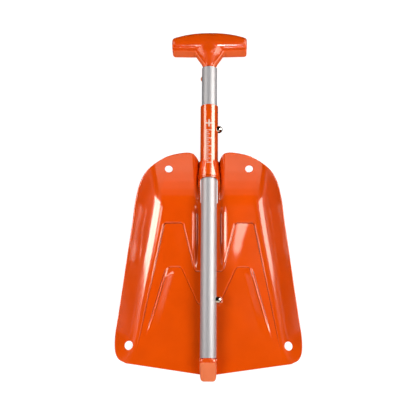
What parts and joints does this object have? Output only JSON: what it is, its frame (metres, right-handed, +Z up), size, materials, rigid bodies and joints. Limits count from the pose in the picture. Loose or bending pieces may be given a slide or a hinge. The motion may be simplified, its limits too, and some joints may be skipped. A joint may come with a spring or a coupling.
{
  "type": "avalanche shovel",
  "caption": "Snow shovel with a pressed scoop blade, rolled socket, T-grip and a straight tube shaft that slides through the socket to store over the blade and locks with snap buttons.",
  "frame": {"origin": "centre of the stored shovel's outline on the floor it lies on", "axes": "+Z up out of the scoop, +Y along the shaft from the blade's tip to the T-grip, +X across the blade towards the lock buttons"},
  "size_m": [0.2568, 0.5032, 0.0495],
  "materials": {
    "blade_paint": "gloss powder coat",
    "shaft_aluminium": "satin anodised",
    "grip_plastic": "semi-gloss",
    "screw_steel": "zinc plated",
    "rivet_aluminium": "bright",
    "cap_plastic": "satin",
    "button_steel": "polished",
    "spring_steel": "bright"
  },
  "bodies": {
    "blade": {"blade": "blade_paint"},
    "shaft": {"shaft_tube": "shaft_aluminium", "grip_front_shell": "grip_plastic", "grip_rear_shell": "grip_plastic", "grip_screws": "screw_steel", "grip_rivet": "rivet_aluminium", "end_cap": "cap_plastic", "upper_lock_spring": "spring_steel", "lower_lock_spring": "spring_steel"},
    "upper_button": {"upper_lock_button": "button_steel"},
    "lower_button": {"lower_lock_button": "button_steel"}
  },
  "joints": [
    {"name": "shaft_slide", "type": "slide", "parent": "blade", "child": "shaft", "axis": [0, 1, 0], "range_m": [0, 0.246], "deforming": ["upper_lock_button", "lower_lock_button"]},
    {"name": "upper_button_press", "type": "slide", "parent": "shaft", "child": "upper_button", "axis": [-1, 0, 0], "range_m": [0, 0.0083], "stiffness_N_per_m": 900, "deforming": ["upper_lock_spring"]},
    {"name": "lower_button_press", "type": "slide", "parent": "shaft", "child": "lower_button", "axis": [-1, 0, 0], "range_m": [0, 0.0083], "stiffness_N_per_m": 900, "deforming": ["lower_lock_spring"]}
  ]
}
